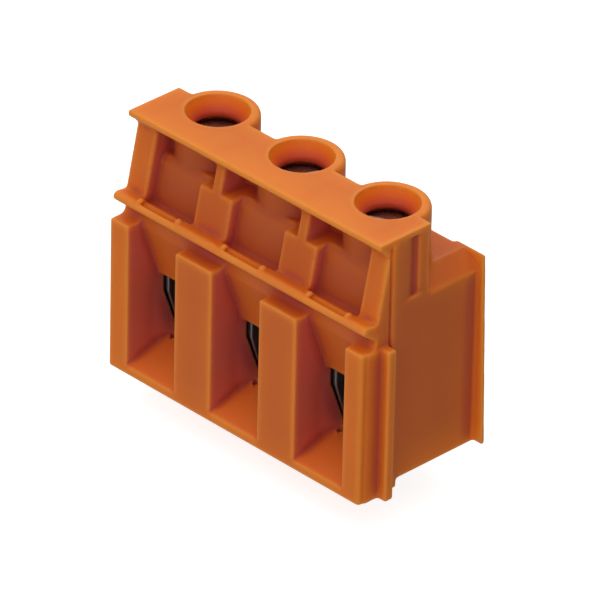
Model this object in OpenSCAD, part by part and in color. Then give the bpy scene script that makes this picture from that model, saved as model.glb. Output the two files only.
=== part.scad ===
// Three-pole terminal block for a printed circuit board, clamping-yoke type.
// Millimetres. The board's top face is z = 0 and +Z points away from it;
// wires enter from -Y; the screw axes stand on the line y = 0.

/* [Poles] */
// Distance between neighbouring poles
pitch = 10.16; // [10.0:0.01:10.4]
// Distance from the wire-entry face back to the screw axes
screw_back = 7.5; // [7:0.05:8]

/* [Housing] */
// Height of the top plate above the housing's base line
top_z = 24.0; // [23:0.1:25]
// Height of the housing's base line above the board; the front foot reaches down to the board
foot_drop = 0.2; // [0.1:0.05:0.4]
// Thickness of the top plate
plate_t = 0.6; // [0.4:0.05:1]
// Front edge of the top plate, behind the wire-entry face
plate_front = 1.9; // [1.5:0.05:2.5]
// Rear edge of the top plate, behind the wire-entry face
plate_back = 7.78; // [7.6:0.02:8]
// From the middle to the outer face of the right end wall
end_x = 15.05; // [14.8:0.05:15.1]
// From the middle to the left end
left_x = 15.2; // [15.1:0.02:15.24]
// From the middle to the right front corner
cheek_x = 15.12; // [15.1:0.02:15.2]
// From the middle to the raised side face that meets the next block
join_x = 15.28; // [15.24:0.02:15.4]
// Depth of the housing without its rear sheet
depth = 13.45; // [13:0.05:14]
// Thickness of the rear sheet and its ear
sheet_t = 0.36; // [0.3:0.02:0.5]
// Height of the pillars between the wire entries
pillar_z = 14.28; // [13.5:0.05:15]
// Width of a pillar
pillar_w = 4.42; // [4:0.05:5]
// Height of the deck behind the screw towers
deck_z = 18.7; // [18:0.1:19.5]
// Clearance under the walls behind the front foot, from the base line
foot_gap = 0.6; // [0.4:0.05:0.9]
// Outer radius of a screw tower
boss_r = 3.64; // [3.4:0.02:3.8]

/* [Screw openings] */
// Radius of the opening for the screwdriver
access_r = 2.76; // [2.5:0.02:3]
// Radius of the collar that keeps the screw in
collar_r = 2.05; // [1.9:0.01:2.2]
// Depth of the collar's upper edge below the top
collar_depth = 1.5; // [1.2:0.05:2]
// Length of the collar
collar_len = 0.45; // [0.4:0.05:0.7]

/* [Sloping front] */
// Foot of the sloping front, behind the wire-entry face
slope_y = 1.78; // [1.5:0.02:2]
// Lean of the sloping front, backwards per millimetre of height
slope_k = 0.213; // [0.15:0.005:0.3]
// Width of an outer wall of the sloping front
wall_w = 2.25; // [1.8:0.05:2.6]
// Width of a partition
rib_w = 1.04; // [0.8:0.02:1.4]
// Width of the block at the foot of a partition
block_w = 3.9; // [3.4:0.05:4.4]
// Depth of the marker pockets behind the sloping front
pocket_d = 1.15; // [0.8:0.05:1.3]

/* [Clamp] */
// Thread radius of the clamping screw
screw_r = 1.95; // [1.8:0.01:2]
// Radius of the screw head
head_r = 2.45; // [2.3:0.02:2.6]
// Inner width of the yoke
yoke_in = 4.6; // [4.2:0.05:4.8]
// Sheet thickness of the yoke's sides
yoke_t = 1.0; // [0.8:0.05:1.1]
// Depth of the yoke at its top
yoke_d = 6.1; // [5.4:0.1:6.2]

/* [Current bar] */
// Width of the bar
bar_w = 4.4; // [4:0.05:4.5]
// Thickness of the bar
bar_t = 1.0; // [0.8:0.05:1.1]
// Underside of the bar, where the wire is clamped, above the board
bar_z = 8.95; // [8.8:0.05:9.1]
// Radius of a solder pin
pin_r = 0.6; // [0.5:0.02:0.7]
// Length of the solder pins below the board's top face
pin_len = 3.0; // [2.8:0.1:3.2]
// Distance between the two pins of a pole
pin_step = 5.08; // [5:0.01:5.2]

/* [Hidden] */
rail_z = 16.6;
roof_z = 18.4;
chamber_w = 6.9;
lintel_z = 8.4;
slot_w = bar_w + 0.3;
entry_w = pitch - pillar_w;
yoke_back = 2.9;
under_plate = top_z - plate_t;
head_z = top_z - collar_depth - collar_len - 0.15;
eps = 0.01;
$fn = 64;

function slope(z) = slope_y + slope_k * (z - rail_z);
function end_of(s) = s > 0 ? end_x : left_x;

// A profile drawn as (distance behind the front face, height), run along X.
module along_x(x0, x1)
  translate([x0, 0, 0]) rotate([90, 0, 90]) linear_extrude(height = x1 - x0) children();

// A profile drawn as (x, height), run back from y0 to y1.
module along_y(y0, y1)
  translate([0, y1, 0]) rotate([90, 0, 0]) linear_extrude(height = y1 - y0) children();

module box(x0, x1, y0, y1, z0, z1)
  translate([x0, y0, z0]) cube([x1 - x0, y1 - y0, z1 - z0]);

// Side view of the moulding: foot block, groove under the rail, rail, sloping front, deck.
module side_profile() {
  translate([0, -foot_drop]) square([depth, pillar_z + foot_drop]);
  difference() {
    polygon([[1.1, pillar_z - 0.3], [1.1, 15.5], [0.42, 15.95], [0.27, 16.1], [0.21, 16.3], [0.27, 16.5], [0.42, 16.65], [0.62, 16.74],
             [slope_y, rail_z], [slope(22.4), 22.4], [2.2, under_plate], [6.6, under_plate],
             [6.6, deck_z], [depth, deck_z], [depth, pillar_z - 0.3]]);
    translate([1.1, 14.83]) circle(r = 0.55);
  }
}

// Side view of the cheeks at both ends: pillar and rail only.
module cheek_profile() {
  translate([0, -foot_drop]) square([3.2, pillar_z + foot_drop]);
  difference() {
    polygon([[1.1, pillar_z - 0.3], [1.1, 15.5], [0.42, 15.95], [0.27, 16.1], [0.21, 16.3], [0.27, 16.5], [0.42, 16.65], [0.62, 16.74],
             [slope_y, rail_z], [slope_y, pillar_z - 0.3]]);
    translate([1.1, 14.83]) circle(r = 0.55);
  }
}

// One wire entry: a funnel that narrows on all four sides towards the clamp,
// with a steeper lead-in on both sides just before the clamp.
module wire_funnel(x)
  translate([x, 0, 0]) {
    intersection() {
      along_x(-4, 4) polygon([[-1, 0.25], [0, 0.6], [5.4, 2.48], [5.4, lintel_z], [3.7, lintel_z],
                              [1.65, 13.8], [1.65, 14.83], [-1, 14.83]]);
      translate([0, 0, -1]) linear_extrude(height = 20)
        polygon([[-entry_w / 2 - 0.02, -1], [entry_w / 2 + 0.02, -1], [entry_w / 2 - 0.07, 3.3],
                 [2.06, 5.4], [-2.06, 5.4], [-entry_w / 2 + 0.07, 3.3]]);
    }
    // small reliefs in the floor's rear corners
    for (s = [-1, 1]) translate([s * 2.0, 4.65, 1.4]) cylinder(r = 0.28, h = 1.3);
  }

// Room for the clamp of one pole, open towards the board; its front wall leans back below.
module clamp_room(x) {
  intersection() {
    along_x(x - chamber_w / 2, x + chamber_w / 2)
      polygon([[4.05, roof_z], [4.05, 6.6], [5.2, 2.9], [5.35, 2.2], [5.35, -1], [10.6, -1], [10.6, roof_z]]);
    // upper corners cut off under the shoulders
    translate([x, 0, 0]) along_y(3, 12)
      polygon([[-4, -2], [4, -2], [4, roof_z - 1.6], [2.8, roof_z + eps], [-2.8, roof_z + eps], [-4, roof_z - 1.6]]);
  }
  box(x - slot_w / 2, x + slot_w / 2, 10.5, 12.35, -1, bar_z - foot_drop + bar_t + 0.15);
  box(x - slot_w / 2, x + slot_w / 2, 4.0, 5.5, -1, 0.85);
}

// Opening over one screw: short straight mouth, cone, collar, room for the head.
module screw_opening(x)
  translate([x, screw_back, 0]) {
    translate([0, 0, top_z - 0.3]) cylinder(r = access_r, h = 2);
    translate([0, 0, top_z - collar_depth]) cylinder(r1 = collar_r, r2 = access_r, h = collar_depth - 0.3 + eps);
    translate([0, 0, top_z - collar_depth - collar_len]) cylinder(r = collar_r, h = collar_len + 0.1);
    translate([0, 0, roof_z - 0.1]) cylinder(r = head_r + 0.25, h = top_z - collar_depth - collar_len - roof_z + 0.1);
  }

// Screw tower with a softly rounded upper rim.
module tower(x)
  translate([x, screw_back, 0]) {
    translate([0, 0, roof_z - 0.4]) cylinder(r = boss_r, h = top_z - roof_z);
    translate([0, 0, top_z - 0.4]) cylinder(r1 = boss_r, r2 = boss_r - 0.12, h = 0.28);
    translate([0, 0, top_z - 0.12]) cylinder(r1 = boss_r - 0.12, r2 = boss_r - 0.4, h = 0.12);
  }

// Pocket for a marker behind the rail, from x0 to x1, and the recess above it from u0 to u1.
module marker_pocket(x0, x1, u0, u1) {
  along_x(x0, x1) polygon([[1.55, 15.9], [slope(15.9) + pocket_d, 15.9], [slope(19.5) + pocket_d, 19.5],
                           [slope(19.5) + pocket_d + 0.5, 20.1], [slope(19.5) + pocket_d + 0.5, 20.6],
                           [1.55, 20.6]]);
  along_x(u0, u1) polygon([[1.0, 20.1], [5.6, 20.1], [5.6, under_plate], [1.0, under_plate]]);
}

// Shallow seat in the rail in front of one pocket, with a hollow behind the rail's nose.
module rail_seat(x) {
  translate([x - 2.3, 0.95, 16.78]) rotate([0, 90, 0]) cylinder(r = 0.36, h = 4.6);
  along_x(x - 2.3, x + 2.3) polygon([[0.95, 16.43], [1.6, 16.56], [1.6, 17.5], [0.95, 17.5]]);
}

// Rounding of the upright front corner at the right end.
module corner_round()
  translate([cheek_x, 0, -1]) linear_extrude(height = 20)
    difference() {
      translate([-0.3, -0.1]) square([0.4, 0.4]);
      translate([-0.3, 0.3]) circle(r = 0.3);
    }

// Cut above the sloping shoulder behind the plate, at one end (s is +1 at the right end).
module shoulder_cut(s)
  along_y(plate_back + 0.02, depth + 2)
    polygon([[s * (end_of(s) - 1.85), deck_z], [s * (end_of(s) + 0.02), 17.27], [s * (end_of(s) + 2), 17.27],
             [s * (end_of(s) + 2), under_plate], [s * (end_of(s) - 1.85), under_plate]]);

// Upright hollow beside a tower in the outer face of one end wall; it deepens towards the rear,
// and the strip behind it stands back a little.
module end_flute(s)
  translate([s * end_of(s), 0, 17.7]) linear_extrude(height = under_plate - 17.7)
    polygon([[s * 0.02, 4.3], [s * -0.1, 5.0], [s * -0.3, 5.75], [s * -0.46, 6.1], [s * -0.46, 6.35],
             [s * -0.13, 6.58], [s * -0.13, 7.85], [s * 1, 7.85], [s * 1, 4.3]]);

module housing() color([0.86, 0.42, 0.13]) translate([0, -screw_back, foot_drop]) difference() {
  union() {
    difference() {
      union() {
        along_x(-left_x, end_x) side_profile();
        along_x(-left_x, cheek_x) cheek_profile();
        // rear parts of the end walls, beside the outer towers
        box(13, end_x - 0.12, 6.5, plate_back, 17, under_plate);
        box(-left_x + 0.12, -13, 6.5, plate_back, 17, under_plate);
      }
      corner_round();
      for (s = [-1, 1]) { shoulder_cut(s); end_flute(s); }
      marker_pocket(-end_x + wall_w, -pitch / 2 - block_w / 2, -end_x + wall_w, -pitch / 2 - rib_w / 2);
      marker_pocket(-pitch / 2 + block_w / 2, pitch / 2 - block_w / 2, -pitch / 2 + rib_w / 2, pitch / 2 - rib_w / 2);
      marker_pocket(pitch / 2 + block_w / 2, end_x - wall_w, pitch / 2 + rib_w / 2, end_x - wall_w);
      for (x = [-pitch, 0, pitch]) rail_seat(x);
      // fine upright groove at the right end, joining groove at the left end
      box(end_x - 0.3, end_x + 1, 3.16, 3.34, -1, under_plate);
      box(-left_x - 1, -left_x + 1.0, 1.98, 3.08, -1, pillar_z + 0.1);
    }
    // top plate and screw towers
    box(-left_x, end_x, plate_front, plate_back, under_plate, top_z);
    for (x = [-pitch, 0, pitch]) tower(x);
    // raised side face and joining tongue at the right end
    box(cheek_x - 0.6, join_x, 0.62, 2.98, -foot_drop, pillar_z - 0.1);
    box(cheek_x - 0.5, join_x + 0.92, 2.08, 2.98, -foot_drop, pillar_z);
    // upright rib beside the fine groove
    box(end_x - 0.2, end_x + 0.12, 3.34, 4.15, foot_gap, under_plate + 0.1);
    // rear sheet with its tapered ear at the right end
    box(-left_x, 12.2, depth - 0.1, depth + sheet_t, foot_gap, 18.2);
    along_y(depth - 0.02, depth + sheet_t)
      polygon([[12.1, foot_gap], [end_x + 1.03, foot_gap], [end_x + 0.46, deck_z], [12.1, deck_z]]);
  }
  // gap under the walls behind the front foot, with two rear feet left standing
  difference() {
    box(-17, 17, 4.5, depth + 1, -1, foot_gap);
    for (x = [-pitch / 2, pitch / 2]) box(x - 1.2, x + 1.2, 11.4, 13.0, -foot_drop, foot_gap + 1);
  }
  for (x = [-pitch, 0, pitch]) { wire_funnel(x); clamp_room(x); screw_opening(x); }
}

// Captive slotted screw; it turns in place and lifts the yoke.
module clamping_screw(x, a) color([0.62, 0.63, 0.65]) translate([x, 0, foot_drop]) rotate([0, 0, a]) difference() {
  union() {
    translate([0, 0, 9.8]) cylinder(r1 = screw_r - 0.5, r2 = screw_r, h = 0.5);
    translate([0, 0, 10.3]) cylinder(r = screw_r, h = 8.7);
    translate([0, 0, 18.95]) cylinder(r = head_r, h = head_z - 0.3 - 18.95);
    translate([0, 0, head_z - 0.3]) cylinder(r1 = head_r, r2 = head_r - 0.3, h = 0.3);
  }
  translate([-4, -0.45, head_z - 1.2]) cube([8, 0.9, 2]);
}

// Bent steel frame around the bar; its thick top takes the screw.
module clamping_yoke(x) color([0.55, 0.56, 0.58]) translate([x, 0, foot_drop]) difference() {
  along_y(yoke_back - yoke_d, yoke_back) difference() {
    union() {
      translate([-yoke_in / 2 - yoke_t + 0.8, 1.0]) square([yoke_in + 2 * yoke_t - 1.6, 2]);
      translate([-yoke_in / 2 - yoke_t, 1.8]) square([yoke_in + 2 * yoke_t, 9.7]);
      translate([-yoke_in / 2 - yoke_t + 0.8, 10]) square([yoke_in + 2 * yoke_t - 1.6, 2.3]);
      for (s = [-1, 1]) {
        translate([s * (yoke_in / 2 + yoke_t - 0.8), 1.8]) circle(r = 0.8);
        translate([s * (yoke_in / 2 + yoke_t - 0.8), 11.5]) circle(r = 0.8);
      }
    }
    translate([-yoke_in / 2, 2.2]) square([yoke_in, 7.9]);
  }
  translate([0, 0, 9]) cylinder(r = screw_r + 0.07, h = 4);
  // lower front cut back, clear of the funnel
  along_x(-5, 5) polygon([[yoke_back - yoke_d - 1, 6.5], [yoke_back - yoke_d, 6.5], [-2.05, 2.8], [-1.9, 2.2],
                          [-1.9, 0], [yoke_back - yoke_d - 1, 0]]);
}

// Strip bent round behind the yoke, with two round solder pins on its lower limb.
module current_bar(x) color([0.78, 0.76, 0.72]) translate([x, -screw_back, 0]) {
  along_x(-bar_w / 2, bar_w / 2) {
    difference() {
      union() {
        translate([4.35, bar_z]) square([6.85, bar_t]);
        translate([11.2, 1.1]) square([bar_t, bar_z - 1.1]);
        translate([4.1, 0.1]) square([7.1, 0.75]);
        translate([11.2, bar_z]) intersection() { circle(r = bar_t); square([bar_t, bar_t]); }
        translate([11.2, 1.1]) intersection() { circle(r = bar_t); translate([0, -bar_t]) square([bar_t, bar_t]); }
      }
      translate([10.4, 0.85]) square([0.8, 0.25]);
    }
  }
  for (y = [-pin_step / 2, pin_step / 2]) translate([0, screw_back + y, 0]) {
    translate([0, 0, -pin_len + 0.5]) cylinder(r = pin_r, h = pin_len - 0.3);
    translate([0, 0, -pin_len]) cylinder(r1 = pin_r - 0.25, r2 = pin_r, h = 0.5);
  }
}

housing();
clamping_screw(-pitch, 62);  // clamping_screw_1
clamping_screw(0, 68);  // clamping_screw_2
clamping_screw(pitch, 20);  // clamping_screw_3
clamping_yoke(-pitch);  // clamping_yoke_1
clamping_yoke(0);  // clamping_yoke_2
clamping_yoke(pitch);  // clamping_yoke_3
current_bar(-pitch);  // current_bar_1
current_bar(0);  // current_bar_2
current_bar(pitch);  // current_bar_3
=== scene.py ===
"""Three-pole terminal block: rounded moulding, threads, finishes with painted light and shade, and a plain studio."""
import bpy
import bmesh
import math
import numpy as np
import openvdb as vdb
from mathutils import Vector, Matrix


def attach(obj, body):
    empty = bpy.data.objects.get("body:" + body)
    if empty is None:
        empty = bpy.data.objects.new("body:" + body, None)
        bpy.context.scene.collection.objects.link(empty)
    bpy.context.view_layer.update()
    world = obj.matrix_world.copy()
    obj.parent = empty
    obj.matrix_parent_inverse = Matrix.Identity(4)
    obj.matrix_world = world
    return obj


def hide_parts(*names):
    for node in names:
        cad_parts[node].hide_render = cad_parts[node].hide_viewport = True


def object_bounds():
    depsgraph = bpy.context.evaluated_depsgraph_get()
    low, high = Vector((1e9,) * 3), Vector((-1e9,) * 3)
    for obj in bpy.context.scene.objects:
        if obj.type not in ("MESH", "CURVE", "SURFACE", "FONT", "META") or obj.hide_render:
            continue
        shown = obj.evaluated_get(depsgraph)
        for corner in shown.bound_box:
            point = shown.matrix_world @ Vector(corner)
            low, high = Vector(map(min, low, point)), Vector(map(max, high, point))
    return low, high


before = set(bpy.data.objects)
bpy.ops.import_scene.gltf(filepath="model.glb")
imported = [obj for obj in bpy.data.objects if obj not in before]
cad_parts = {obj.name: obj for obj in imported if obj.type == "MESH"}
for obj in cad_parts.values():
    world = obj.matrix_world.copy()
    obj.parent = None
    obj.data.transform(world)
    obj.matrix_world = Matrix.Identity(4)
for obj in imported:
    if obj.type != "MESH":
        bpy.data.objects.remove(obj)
cad_box = [list(c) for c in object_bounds()]
scene = bpy.context.scene
MM = 0.001
POLES = (-10.16, 0.0, 10.16)


# ---------------------------------------------------------------- material nodes

def new_material(name):
    m = bpy.data.materials.new(name)
    m.use_nodes = True
    nt = m.node_tree
    nt.nodes.clear()
    out = nt.nodes.new("ShaderNodeOutputMaterial")
    bsdf = nt.nodes.new("ShaderNodeBsdfPrincipled")
    nt.links.new(bsdf.outputs["BSDF"], out.inputs["Surface"])
    return m, nt, bsdf


def noise_node(nt, coord, scale, detail=2.0, rough=0.5):
    n = nt.nodes.new("ShaderNodeTexNoise")
    n.inputs["Scale"].default_value = scale
    n.inputs["Detail"].default_value = detail
    n.inputs["Roughness"].default_value = rough
    nt.links.new(coord, n.inputs["Vector"])
    return n.outputs["Fac"]


def ramp_node(nt, fac, stops):
    r = nt.nodes.new("ShaderNodeValToRGB")
    el = r.color_ramp.elements
    while len(el) < len(stops):
        el.new(0.5)
    for e, (pos, col) in zip(el, stops):
        e.position = pos
        e.color = (*col, 1.0) if len(col) == 3 else col
    nt.links.new(fac, r.inputs["Fac"])
    return r.outputs["Color"]


def range_node(nt, fac, lo, hi, from_lo=0.0, from_hi=1.0):
    r = nt.nodes.new("ShaderNodeMapRange")
    r.inputs["From Min"].default_value = from_lo
    r.inputs["From Max"].default_value = from_hi
    r.inputs["To Min"].default_value = lo
    r.inputs["To Max"].default_value = hi
    nt.links.new(fac, r.inputs["Value"])
    return r.outputs["Result"]


def mix_node(nt, fac, a, b):
    m = nt.nodes.new("ShaderNodeMix")
    m.data_type = "RGBA"
    m.clamp_factor = True
    nt.links.new(fac, m.inputs["Factor"])
    for sock, v in ((m.inputs[6], a), (m.inputs[7], b)):
        if isinstance(v, tuple):
            sock.default_value = (*v, 1.0)
        else:
            nt.links.new(v, sock)
    return m.outputs[2]


def polyamide():
    m, nt, b = new_material("orange_polyamide")
    co = nt.nodes.new("ShaderNodeTexCoord").outputs["Object"]
    cloud = noise_node(nt, co, 170.0, 3.0, 0.55)
    # painted light and shade: thin walls and rims, which let light through, are painted paler; deep corners are painted
    # darker and redder as shade
    bulk = nt.nodes.new("ShaderNodeAttribute")
    bulk.attribute_name = "bulk"
    col = ramp_node(nt, bulk.outputs["Fac"], [(0.15, (0.930, 0.228, 0.016)), (0.30, (0.800, 0.179, 0.018)),
                                              (0.45, (0.680, 0.138, 0.022)), (0.60, (0.590, 0.106, 0.036))])
    # painted light: the thin floor of the wire entries is painted paler, as if lit through from the table
    foot = nt.nodes.new("ShaderNodeAttribute")
    foot.attribute_name = "foot"
    col = mix_node(nt, foot.outputs["Fac"], col, (0.950, 0.210, 0.034))
    # painted shade: side walls of the wire entries and marker pockets are painted a darker, pinker red, as in shade
    # where two walls face each other
    funnel = nt.nodes.new("ShaderNodeAttribute")
    funnel.attribute_name = "funnel"
    col = mix_node(nt, range_node(nt, funnel.outputs["Fac"], 0.0, 0.8), col, (0.70, 0.132, 0.112))
    col = mix_node(nt, range_node(nt, cloud, 0.0, 0.16, 0.35, 0.70), col, (0.60, 0.125, 0.022))
    edge = nt.nodes.new("ShaderNodeAttribute")
    edge.attribute_name = "edge"
    # painted highlight: outstanding edges are painted paler and yellower; painted shade: inner creases are painted
    # darker
    edge_highlight = range_node(nt, edge.outputs["Fac"], 0.0, 0.68, 0.05, 0.60)
    crease_shade = range_node(nt, edge.outputs["Fac"], 0.0, 0.30, -0.05, -0.60)
    col = mix_node(nt, edge_highlight, col, (0.97, 0.36, 0.050))
    col = mix_node(nt, crease_shade, col, (0.56, 0.095, 0.024))
    # painted shade: inner corners, where less light gets through, are painted dark red
    corner = nt.nodes.new("ShaderNodeAttribute")
    corner.attribute_name = "corner"
    col = mix_node(nt, range_node(nt, corner.outputs["Fac"], 0.0, 0.65, 0.53, 0.70), col, (0.48, 0.052, 0.040))
    # painted shade: the deck, shoulders and the backs of the pockets are painted a deeper, darker orange, as they lie
    # in shade
    deck = nt.nodes.new("ShaderNodeAttribute")
    deck.attribute_name = "deck"
    col = mix_node(nt, range_node(nt, deck.outputs["Fac"], 0.0, 0.5), col, (0.52, 0.085, 0.006))
    # painted shade: walls with a dark clamp room close behind them are painted darker
    hollow = nt.nodes.new("ShaderNodeAttribute")
    hollow.attribute_name = "hollow"
    shade = ramp_node(nt, hollow.outputs["Fac"], [(0.0, (0.0, 0.0, 0.0)), (0.25, (0.50, 0.50, 0.50)),
                                                  (0.50, (0.83, 0.83, 0.83)), (0.80, (1.0, 1.0, 1.0))])
    col = mix_node(nt, shade, col, (0.19, 0.028, 0.055))
    # painted light and shade: thin walls of the screw openings, painted glowing at the rim and deep red lower down
    well = nt.nodes.new("ShaderNodeAttribute")
    well.attribute_name = "well"
    glow = ramp_node(nt, well.outputs["Fac"], [(0.05, (0.970, 0.260, 0.008)), (0.30, (0.950, 0.170, 0.008)),
                                               (0.62, (0.760, 0.095, 0.030)), (0.95, (0.460, 0.048, 0.034))])
    col = mix_node(nt, range_node(nt, well.outputs["Fac"], 0.0, 0.9, 0.0, 0.08), col, glow)
    nt.links.new(col, b.inputs["Base Color"])
    b.inputs["Subsurface Weight"].default_value = 0.55
    b.inputs["Subsurface Radius"].default_value = (1.0, 0.35, 0.15)
    b.inputs["Subsurface Scale"].default_value = 0.0005
    b.inputs["IOR"].default_value = 1.5
    b.inputs["Specular IOR Level"].default_value = 0.25
    fine = noise_node(nt, co, 5200.0, 2.0, 0.6)
    nt.links.new(range_node(nt, cloud, 0.36, 0.48), b.inputs["Roughness"])
    bump = nt.nodes.new("ShaderNodeBump")
    bump.inputs["Strength"].default_value = 0.08
    bump.inputs["Distance"].default_value = 0.00003
    nt.links.new(fine, bump.inputs["Height"])
    nt.links.new(bump.outputs["Normal"], b.inputs["Normal"])
    return m


def metal(name, dark, light, rough_lo, rough_hi, grain=(900.0, 900.0, 6000.0)):
    m, nt, b = new_material(name)
    tc = nt.nodes.new("ShaderNodeTexCoord").outputs["Object"]
    mp = nt.nodes.new("ShaderNodeMapping")
    mp.inputs["Scale"].default_value = grain
    nt.links.new(tc, mp.inputs["Vector"])
    lines = noise_node(nt, mp.outputs["Vector"], 1.0, 3.0, 0.6)
    spots = noise_node(nt, tc, 420.0, 4.0, 0.6)
    col = ramp_node(nt, spots, [(0.32, dark), (0.68, light)])
    edge = nt.nodes.new("ShaderNodeAttribute")
    edge.attribute_name = "edge"
    # paler on outstanding edges, where the plating wears; darker in grooves and inner corners
    worn = range_node(nt, edge.outputs["Fac"], 0.0, 0.7, 0.10, 0.80)
    inner_darker = range_node(nt, edge.outputs["Fac"], 0.0, 0.6, -0.10, -0.80)
    col = mix_node(nt, worn, col, tuple(min(1.0, 1.25 * c) for c in light))
    col = mix_node(nt, inner_darker, col, tuple(0.45 * c for c in dark))
    nt.links.new(col, b.inputs["Base Color"])
    b.inputs["Metallic"].default_value = 1.0
    nt.links.new(range_node(nt, lines, rough_lo, rough_hi), b.inputs["Roughness"])
    bump = nt.nodes.new("ShaderNodeBump")
    bump.inputs["Strength"].default_value = 0.12
    bump.inputs["Distance"].default_value = 0.00003
    nt.links.new(lines, bump.inputs["Height"])
    nt.links.new(bump.outputs["Normal"], b.inputs["Normal"])
    return m


def floor_material():
    m, nt, b = new_material("pale_floor")
    co = nt.nodes.new("ShaderNodeTexCoord").outputs["Object"]
    n = noise_node(nt, co, 9.0, 2.0, 0.5)
    nt.links.new(ramp_node(nt, n, [(0.3, (0.48, 0.48, 0.48)), (0.7, (0.52, 0.52, 0.52))]), b.inputs["Base Color"])
    b.inputs["Roughness"].default_value = 0.9
    b.inputs["Specular IOR Level"].default_value = 0.0
    b.inputs["Emission Color"].default_value = (1.0, 1.0, 1.0, 1.0)
    b.inputs["Emission Strength"].default_value = 0.80
    return m


ORANGE = polyamide()
# painted shade: the screw steel is painted dark red-brown, as it looks deep in the orange screw openings
SCREW = metal("shaded_zinc_plated_screw", (0.19, 0.125, 0.105), (0.29, 0.20, 0.165), 0.20, 0.34)
# painted shade: the yoke steel is painted dark grey, as it looks deep inside the clamp rooms
YOKE = metal("shaded_zinc_plated_yoke", (0.20, 0.20, 0.21), (0.29, 0.29, 0.30), 0.40, 0.55)
TIN = metal("tinned_bar", (0.66, 0.65, 0.62), (0.80, 0.79, 0.76), 0.22, 0.36)


# ---------------------------------------------------------------- rounded pieces from distance fields

def node_triangles(name):
    """Welded points in millimetres and triangles of one frame node."""
    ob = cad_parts[name]
    me = ob.data
    pts = np.empty(len(me.vertices) * 3, np.float32)
    me.vertices.foreach_get("co", pts)
    pts = pts.reshape(-1, 3)
    mw = np.array(ob.matrix_world, np.float32)
    pts = (pts @ mw[:3, :3].T + mw[:3, 3]) * 1000.0
    me.calc_loop_triangles()
    tri = np.empty(len(me.loop_triangles) * 3, np.int32)
    me.loop_triangles.foreach_get("vertices", tri)
    tri = tri.reshape(-1, 3)
    key = np.round(pts / 1e-4).astype(np.int64)
    uniq, inv = np.unique(key, axis=0, return_inverse=True)
    inv = inv.ravel()
    first = np.zeros(len(uniq), np.int64)
    first[inv] = np.arange(len(pts))
    tri = inv[tri]
    bad = (tri[:, 0] == tri[:, 1]) | (tri[:, 1] == tri[:, 2]) | (tri[:, 0] == tri[:, 2])
    return np.ascontiguousarray(pts[first]), np.ascontiguousarray(tri[~bad].astype(np.uint32))


def blur(a, sigma_vox):
    """Separable Gaussian over a dense field."""
    r = int(math.ceil(3.0 * sigma_vox))
    k = np.exp(-np.arange(-r, r + 1) ** 2 / (2.0 * sigma_vox * sigma_vox)).astype(np.float32)
    k /= k.sum()
    for ax in range(3):
        p = np.pad(a, [(r, r) if i == ax else (0, 0) for i in range(3)], mode="edge")
        o = np.zeros_like(a)
        n = a.shape[ax]
        for i, w in enumerate(k):
            sl = [slice(None)] * 3
            sl[ax] = slice(i, i + n)
            o += w * p[tuple(sl)]
        a = o
    return a


def sample(a, q):
    """Trilinear samples of a dense field at voxel positions q."""
    q = np.clip(q, 0.0, np.array(a.shape) - 1.001)
    i = np.floor(q).astype(np.int64)
    f = (q - i).astype(np.float32)
    out = np.zeros(len(q), np.float32)
    for dx in (0, 1):
        wx = f[:, 0] if dx else 1.0 - f[:, 0]
        for dy in (0, 1):
            wy = f[:, 1] if dy else 1.0 - f[:, 1]
            for dz in (0, 1):
                wz = f[:, 2] if dz else 1.0 - f[:, 2]
                out += wx * wy * wz * a[i[:, 0] + dx, i[:, 1] + dy, i[:, 2] + dz]
    return out


def field_of(name, vox, band=7.0):
    """Signed distance of a frame node on a dense grid: field and index of its first voxel."""
    pts, tri = node_triangles(name)
    xf = vdb.createLinearTransform(voxelSize=vox)
    g = vdb.FloatGrid.createLevelSetFromPolygons(pts, triangles=tri, transform=xf, halfWidth=band)
    lo, hi = g.evalActiveVoxelBoundingBox()
    a = np.zeros([h - l + 1 for l, h in zip(lo, hi)], np.float32)
    g.copyToArray(a, ijk=lo)
    return a, lo


def surface(b, lo, vox, adaptivity, band=7.0):
    """Mesh of a field's zero level with normals from its slope."""
    g = vdb.FloatGrid(float(band * vox))
    g.transform = vdb.createLinearTransform(voxelSize=vox)
    g.gridClass = vdb.GridClass.LEVEL_SET
    g.copyFromArray(np.ascontiguousarray(b), ijk=lo, tolerance=0.0)
    p, t, q = g.convertToPolygons(isovalue=0.0, adaptivity=adaptivity)
    v = p / vox - np.array(lo, np.float32)
    e = 0.6
    n = np.empty_like(v)
    for ax in range(3):
        d = np.zeros(3, np.float32)
        d[ax] = e
        n[:, ax] = sample(b, v + d) - sample(b, v - d)
    n /= np.maximum(np.linalg.norm(n, axis=1, keepdims=True), 1e-9)
    return p, t, q, v, n


def piece_from(name, p, t, q, n, mat):
    faces = [tuple(int(i) for i in f[::-1]) for f in t] + [tuple(int(i) for i in f[::-1]) for f in q]
    me = bpy.data.meshes.new(name)
    me.from_pydata((p * MM).tolist(), [], faces)
    me.update()
    for f in me.polygons:
        f.use_smooth = True
    me.normals_split_custom_set_from_vertices(n.tolist())
    ob = bpy.data.objects.new(name, me)
    scene.collection.objects.link(ob)
    me.materials.append(mat)
    return ob


def edge_values(ob, b, v, sigma_vox, scale, more=0.0):
    """Store how far the surface stands out (+) or lies in (-) at each point: for worn metal edges and darker metal
    corners, and for the painted edge highlights and painted corner shade of the moulding.
    """
    at = ob.data.attributes.new("edge", "FLOAT", "POINT")
    at.data.foreach_set("value", (sample(blur(b, sigma_vox), v) / scale + more).astype(np.float32))


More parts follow.
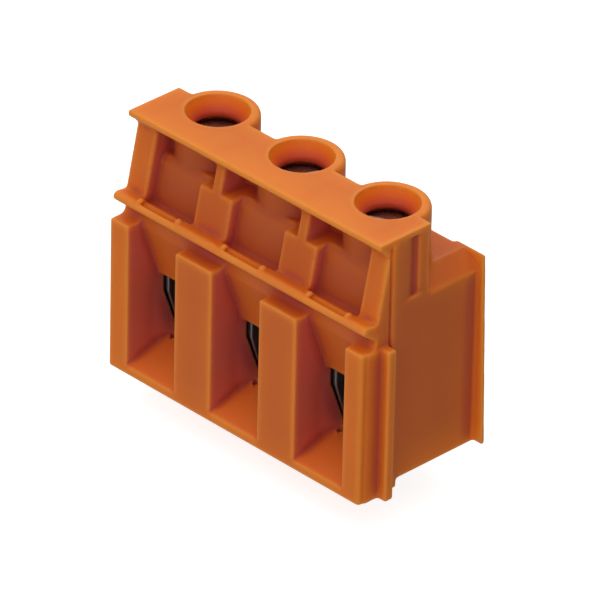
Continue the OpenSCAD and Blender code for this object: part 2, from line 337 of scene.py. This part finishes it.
def bulk_values(ob, p, n):
    """Store how much solid, and how much hidden dark room, lies near each point of the moulding, and where light and
    shade are painted on it.
    """
    vox = 0.16
    a, lo = field_of("housing", vox, 4.0)
    solid = np.pad(np.clip(0.5 - a / vox, 0.0, 1.0).astype(np.float32), 24)
    q = p / vox - np.array(lo) + 24
    x, y, z = [(np.arange(n) + l - 24) * vox for n, l in zip(solid.shape, lo)]
    x, y, z = x[:, None, None], y[None, :, None], z[None, None, :]
    room = np.zeros(solid.shape, bool)
    for c in POLES:
        room |= (np.abs(x - c) < 3.5) & (y > -3.5) & (y < 5.0) & (z > 3.2) & (z < 18.7)
        room |= (np.hypot(x - c, y) < 2.75) & (z > 18.0) & (z < 22.6)
    dark = (room & (solid < 0.5)).astype(np.float32)
    # where the painted light of the thin entry floors goes
    foot = np.clip((n[:, 2] - 0.6) / 0.3, 0.0, 1.0) * np.clip((3.2 - p[:, 2]) / 0.4, 0.0, 1.0) * (p[:, 1] < -1.8)
    r = np.min([np.hypot(p[:, 0] - c, p[:, 1]) for c in POLES], axis=0)
    # where the painted glow and shade of the screw openings goes
    well = np.clip((24.15 - p[:, 2]) / 2.0, 0.0, 1.0) * np.clip((2.78 - r) / 0.08, 0.0, 1.0) * (p[:, 2] > 22.0)
    off = np.min([np.abs(p[:, 0] - c) for c in POLES], axis=0)
    entry = (off < 3.0) & (p[:, 1] < -2.0) & (p[:, 2] > 0.6) & (p[:, 2] < 15.0)
    pocket = (np.abs(p[:, 0]) < 13.0) & (p[:, 1] > -5.6) & (p[:, 1] < -1.8) & (p[:, 2] > 16.4) & (p[:, 2] < 23.5)
    # where the painted shade of the side walls of the wire entries and marker pockets goes
    funnel = np.clip((np.abs(n[:, 0]) - 0.5) / 0.3, 0.0, 1.0) * (entry | pocket)
    # painted shade, added to the corners: inner corners too shallow to count by themselves, beside the rear ear, beside
    # the tongue, in the end hollows
    ear = 0.19 * np.clip((p[:, 1] - 3.9) / 1.2, 0.0, 1.0) * (p[:, 1] < 5.75) * (p[:, 0] > 14.9) * (p[:, 2] < 17.4)
    ear = ear + 0.10 * np.clip((p[:, 1] + 6.8) / 0.8, 0.0, 1.0) * (p[:, 1] < -5.38) * (p[:, 0] > 15.2) * (p[:, 0] < 15.34)
    ear = ear + 0.13 * np.clip((p[:, 1] + 2.2) / 0.8, 0.0, 1.0) * (p[:, 1] < -1.0) * (np.abs(p[:, 0]) > 14.5) * (p[:, 2] > 17.95)
    # where the painted shade of the deck, shoulders and pocket backs goes
    deck = ((p[:, 2] > 17.2) & (p[:, 2] < 20.0) & (p[:, 1] > 0.3)) * np.clip((n[:, 2] - 0.3) / 0.6, 0.0, 1.0)
    deck = deck + 0.5 * (pocket & (n[:, 1] < -0.5))
    # less of that painted shade: no dark room shows through the deck, and little of it through the slanted lintels
    shut = 1.0 - 0.9 * ((p[:, 2] > 17.0) & (p[:, 1] > 0.3) & (r > 2.9)) - 0.8 * (
        (p[:, 2] > 8.7) & (p[:, 2] < 15.0) & (n[:, 1] < -0.6) & (p[:, 1] < -3.0))
    values = {"bulk": sample(blur(solid, 2.0 / vox), q), "hollow": sample(blur(dark, 1.0 / vox), q) * (1.0 - 0.8 * foot) * shut,
              "foot": foot, "corner": sample(blur(solid, 0.6 / vox), q) + ear, "well": well, "funnel": funnel, "deck": deck}
    for name, v in values.items():
        at = ob.data.attributes.new(name, "FLOAT", "POINT")
        at.data.foreach_set("value", np.asarray(v, np.float32))


def finish_piece(ob, node, body):
    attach(ob, body)
    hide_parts(node)


def rounded_piece(node, name, body, mat, vox, sigma, adaptivity, detail=None, x0=0.0):
    a, lo = field_of(node, vox)
    if detail:
        x, y, z = [(np.arange(n, dtype=np.float32) + l) * np.float32(vox) for n, l in zip(a.shape, lo)]
        a = detail(a, x[:, None, None] - x0, y[None, :, None], z[None, None, :])
    b = blur(a, sigma / vox)
    p, t, q, v, n = surface(b, lo, vox, adaptivity)
    ob = piece_from(name, p, t, q, n, mat)
    edge_values(ob, b, v, 0.12 / vox, 0.07)
    finish_piece(ob, node, body)
    return len(t) + 2 * len(q)


def yoke_ridges(a, x, y, z):
    """Gripping ridges across the yoke's lower limb, where the wire is pressed."""
    for c in (-0.9, -0.1, 0.7, 1.5, 2.3):
        bar = np.maximum(np.hypot(y - c, z - 2.32) - 0.26, np.abs(x) - 2.35)
        a = np.minimum(a, bar)
    return a


def bar_grooves(a, x, y, z):
    """Gripping grooves across the underside of the current bar."""
    for c in (-2.5, -1.7, -0.9, -0.1, 0.7, 1.5):
        a = np.maximum(a, 0.24 - np.hypot(y - c, z - 8.83))
    return a


def screw_field(vox):
    """Distance field of one slotted screw with its thread, on its own axis."""
    lo = (int(-2.9 / vox), int(-2.9 / vox), int(9.4 / vox))
    x, y, z = [(np.arange(n, dtype=np.float32) + l) * np.float32(vox)
               for n, l in zip((int(5.8 / vox), int(5.8 / vox), int(13.4 / vox)), lo)]
    x, y, z = x[:, None, None], y[None, :, None], z[None, None, :]
    r = np.hypot(x, y)
    u = (z / 0.7 - np.arctan2(y, x) / (2.0 * math.pi)) % 1.0
    tooth = np.clip((0.5 - np.abs(u - 0.5)) * 2.6 - 0.18, 0.0, 1.0)
    fade = np.clip((18.5 - z) / 0.5, 0.0, 1.0)
    shank = (r - (1.58 + 0.36 * tooth * fade)) * 0.78
    shank = np.maximum(shank, (r - 1.45 - (z - 10.02)) * 0.7)
    shank = np.maximum(np.maximum(shank, 10.02 - z), z - 19.6)
    head = np.maximum(np.maximum(r - 2.44, z - 22.08), 19.17 - z)
    head = np.maximum(head, (r - 2.44 + z - 21.82) * 0.7071)
    head = np.maximum(head, (r - 2.44 - z + 19.03) * 0.7071)
    d = np.minimum(shank, head)
    slot = np.maximum(np.abs(y) - 0.45, 20.9 - z)
    return np.maximum(d, -slot).astype(np.float32) + 0.0 * r, lo


def screws(angles):
    vox = 0.05
    a, lo = screw_field(vox)
    band = 7.0
    b = blur(np.clip(a, -band * vox, band * vox), 0.045 / vox)
    p, t, q, v, n = surface(b, lo, vox, 0.02)
    for i, (x0, deg) in enumerate(zip(POLES, angles), 1):
        c, s = math.cos(math.radians(deg)), math.sin(math.radians(deg))
        turn = np.array([[c, -s, 0.0], [s, c, 0.0], [0.0, 0.0, 1.0]])
        ob = piece_from("plated_screw_%d" % i, p @ turn.T + np.array([x0, 0.0, 0.0]), t, q, n @ turn.T, SCREW)
        edge_values(ob, b, v, 0.12 / vox, 0.07)
        finish_piece(ob, "clamping_screw_%d" % i, "screw_%d" % i)
    return len(t) + 2 * len(q)


def near_throats(shape, lo, vox):
    """1 around the edges where a wire entry opens into its clamp room, falling to 0 outside."""
    x, y, z = [(np.arange(n) + l) * vox for n, l in zip(shape, lo)]

    def window(c, lo_c, hi_c, soft):
        return np.clip(np.minimum(c - lo_c, hi_c - c) / soft, 0.0, 1.0).astype(np.float32)

    wx = np.max([window(x, c - 3.6, c + 3.6, 0.3) for c in POLES], axis=0)
    return wx[:, None, None] * window(y, -5.0, -1.4, 0.4)[None, :, None] * window(z, 1.9, 9.6, 0.4)[None, None, :]


def seat_lips(a, lo, vox):
    """Small raised lips at both ends of the three seats in the rail."""
    for c in POLES:
        for side in (-2.3, 2.3):
            at = np.array((c + side, -6.55, 16.94))
            i0 = np.round((at - 0.8) / vox).astype(int) - np.array(lo)
            i1 = i0 + int(1.6 / vox)
            gx, gy, gz = [(np.arange(p, q) + l) * vox - m for p, q, l, m in zip(i0, i1, lo, at)]
            r = np.sqrt((gx[:, None, None] / 0.32) ** 2 + (gy[None, :, None] / 0.36) ** 2 + (gz[None, None, :] / 0.24) ** 2)
            block = tuple(slice(p, q) for p, q in zip(i0, i1))
            a[block] = np.minimum(a[block], ((r - 1.0) * 0.24).astype(np.float32))
    return a


def moulding():
    vox = 0.08
    a, lo = field_of("housing", vox)
    a = seat_lips(a, lo, vox)
    w = near_throats(a.shape, lo, vox)
    b = blur(a, 0.09 / vox) * (1.0 - w) + blur(a, 0.04 / vox) * w
    p, t, q, v, n = surface(b, lo, vox, 0.12)
    ob = piece_from("moulded_housing", p, t, q, n, ORANGE)
    # painted highlight: the front fascia along the top plate's upper edge counts as more outstanding, so it is painted
    # paler
    plate_fascia_highlight = 0.22 * ((n[:, 1] < -0.5) & (p[:, 2] > 23.55))
    edge_values(ob, b, v, 0.20 / vox, 0.12, plate_fascia_highlight)
    bulk_values(ob, p, n)
    finish_piece(ob, "housing", "base")
    return len(t) + 2 * len(q)


counts = {"housing": moulding(), "screw": screws((62.0, 68.0, 20.0))}
for i, x0 in enumerate(POLES, 1):
    counts["yoke_%d" % i] = rounded_piece("clamping_yoke_%d" % i, "bent_yoke_%d" % i, "yoke_%d" % i, YOKE,
                                          0.07, 0.08, 0.05, yoke_ridges, x0)
    counts["bar_%d" % i] = rounded_piece("current_bar_%d" % i, "tinned_bar_%d" % i, "base", TIN,
                                         0.07, 0.06, 0.05, bar_grooves, x0)
print("triangles", counts)


# ---------------------------------------------------------------- studio

def add_floor(z):
    bm = bmesh.new()
    bmesh.ops.create_grid(bm, x_segments=8, y_segments=8, size=1.5)
    me = bpy.data.meshes.new("studio_floor")
    bm.to_mesh(me)
    bm.free()
    ob = bpy.data.objects.new("studio_floor", me)
    ob.location = (0.0, 0.0, z)
    ob.visible_diffuse = False
    ob.visible_glossy = False
    scene.collection.objects.link(ob)
    me.materials.append(floor_material())


def add_area(name, pos, aim, size, watts, colour=(1.0, 1.0, 1.0)):
    li = bpy.data.lights.new(name, "AREA")
    li.shape = "RECTANGLE"
    li.size, li.size_y = size
    li.energy = watts
    li.color = colour
    ob = bpy.data.objects.new(name, li)
    ob.location = pos
    ob.rotation_euler = (Vector(aim) - Vector(pos)).to_track_quat("-Z", "Y").to_euler()
    scene.collection.objects.link(ob)


def soft_world(lobes):
    """A plain tent of light, made of wide soft lobes: a direction and a strength each."""
    world = bpy.data.worlds.new("studio_world")
    scene.world = world
    world.use_nodes = True
    nt = world.node_tree
    bg = nt.nodes["Background"]
    tc = nt.nodes.new("ShaderNodeTexCoord").outputs["Generated"]

    def math_node(op, a, b):
        n = nt.nodes.new("ShaderNodeMath")
        n.operation = op
        for sock, v in zip(n.inputs, (a, b)):
            if isinstance(v, float):
                sock.default_value = v
            else:
                nt.links.new(v, sock)
        return n.outputs["Value"]

    total = None
    for axis, strength in lobes:
        dot = nt.nodes.new("ShaderNodeVectorMath")
        dot.operation = "DOT_PRODUCT"
        nt.links.new(tc, dot.inputs[0])
        dot.inputs[1].default_value = Vector(axis).normalized()
        lobe = math_node("MULTIPLY", math_node("POWER", math_node("MAXIMUM", dot.outputs["Value"], 0.0), 3.0), strength)
        total = lobe if total is None else math_node("ADD", total, lobe)
    bg.inputs["Color"].default_value = (1.0, 1.0, 1.0, 1.0)
    nt.links.new(total, bg.inputs["Strength"])


add_floor(cad_box[0][2])
soft_world([
    ((0, 0, 1), 0.80), ((0, 0, -1), 0.45), ((0, -1, 0), 0.42), ((0, 1, 0), 0.06), ((-1, 0, 0), 0.25), ((1, 0, 0), 0.05),
    ((-1, -1, 1), 0.25), ((1, -1, 1), 0.72), ((-1, 1, 1), 0.40), ((-1, -1, -1), 0.22), ((1, -1, -1), 0.17),
    ((-1, 1, -1), 0.25), ((1, 1, -1), 0.20)])
add_area("key", (-0.10, 0.30, 0.46), (0.0, 0.0, 0.012), (0.34, 0.34), 0.50)


def add_camera():
    az, el, roll = math.radians(45.399), math.radians(31.117), math.radians(1.295)
    back = Vector((math.sin(az) * math.cos(el), -math.cos(az) * math.cos(el), math.sin(el)))
    right = Vector((math.cos(az), math.sin(az), 0.0))
    up = back.cross(right)
    pos = (back * 729.418 + right * 5.425 + up * 11.261 + Vector((0.0, -7.5, 0.2))) * MM
    r2 = right * math.cos(roll) + up * math.sin(roll)
    u2 = up * math.cos(roll) - right * math.sin(roll)
    cam = bpy.data.cameras.new("camera")
    cam.sensor_width = 36.0
    cam.lens = 8706.9 / 600.0 * 36.0
    cam.clip_start = 0.05
    cam.clip_end = 20.0
    ob = bpy.data.objects.new("camera", cam)
    ob.matrix_world = Matrix((
        (r2.x, u2.x, back.x, pos.x),
        (r2.y, u2.y, back.y, pos.y),
        (r2.z, u2.z, back.z, pos.z),
        (0.0, 0.0, 0.0, 1.0)))
    scene.collection.objects.link(ob)
    scene.camera = ob


add_camera()
scene.view_settings.view_transform = "Standard"
scene.view_settings.look = "None"
